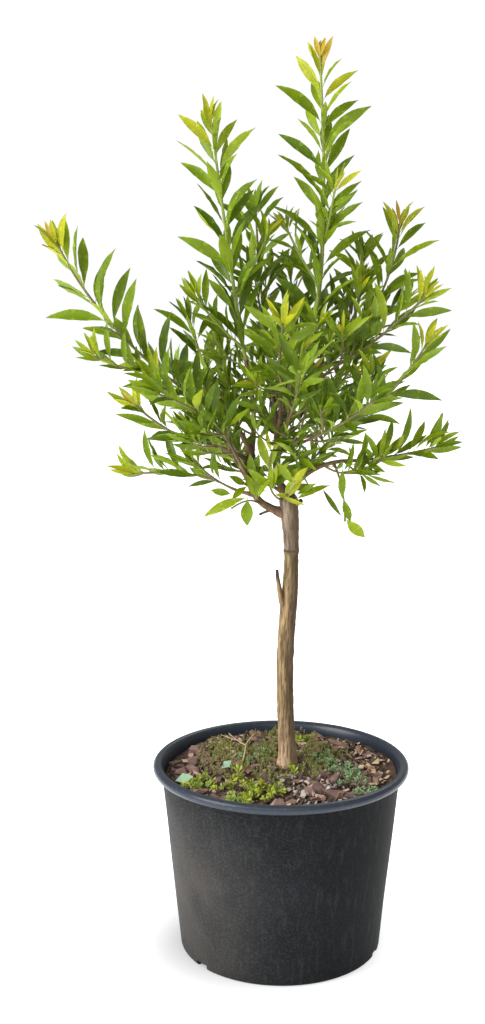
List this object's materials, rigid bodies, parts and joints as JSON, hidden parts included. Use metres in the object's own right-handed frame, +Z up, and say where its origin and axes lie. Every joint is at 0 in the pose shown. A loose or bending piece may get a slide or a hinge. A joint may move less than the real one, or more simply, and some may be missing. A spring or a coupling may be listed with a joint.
{
  "type": "potted finger lime tree",
  "caption": "Young lime tree on a slim bare trunk with an open crown of long narrow leaves, standing in a round black nursery pot of soil.",
  "frame": {"origin": "middle of the pot's flat underside, on the surface that the pot stands on", "axes": "+Z up the trunk, -Y towards the side that the picture shows, +X to its right"},
  "size_m": [0.4167, 0.3544, 0.9093],
  "materials": {
    "pot_plastic": "matt charcoal moulded plastic, lightly scuffed and dusty",
    "soil": "rough potting mix with bark and stone chips on top",
    "bark": "matt ridged bark",
    "foliage": "smooth leaves with a slight gloss"
  },
  "bodies": {
    "root": {"pot": "pot_plastic", "soil": "soil", "trunk": "bark", "snag": "bark", "bough_left": "bark", "bough_back": "bark", "bough_back_centre": "bark", "bough_back_left": "bark", "bough_back_low_left": "bark", "bough_back_low_right": "bark", "bough_back_right": "bark", "bough_back_tall": "bark", "bough_fork_spur": "bark", "bough_front": "bark", "bough_front_left": "bark", "bough_front_right": "bark", "bough_front_top": "bark", "bough_hanging": "bark", "bough_leader": "bark", "bough_left_inner": "bark", "bough_left_long": "bark", "bough_left_low": "bark", "bough_left_mid": "bark", "bough_left_spur": "bark", "bough_right_inner": "bark", "bough_right_low": "bark", "bough_right_mid": "bark", "bough_right_reach": "bark", "bough_right_upper": "bark", "bough_tall_left": "bark", "leaves_back": "foliage", "leaves_back_centre": "foliage", "leaves_back_left": "foliage", "leaves_back_low_left": "foliage", "leaves_back_low_right": "foliage", "leaves_back_right": "foliage", "leaves_back_tall": "foliage", "leaves_fork_spur": "foliage", "leaves_front": "foliage", "leaves_front_left": "foliage", "leaves_front_right": "foliage", "leaves_front_top": "foliage", "leaves_hanging": "foliage", "leaves_leader": "foliage", "leaves_left_inner": "foliage", "leaves_left_long": "foliage", "leaves_left_low": "foliage", "leaves_left_mid": "foliage", "leaves_left_spur": "foliage", "leaves_right_inner": "foliage", "leaves_right_low": "foliage", "leaves_right_mid": "foliage", "leaves_right_reach": "foliage", "leaves_right_upper": "foliage", "leaves_tall_left": "foliage"}
  },
  "joints": []
}
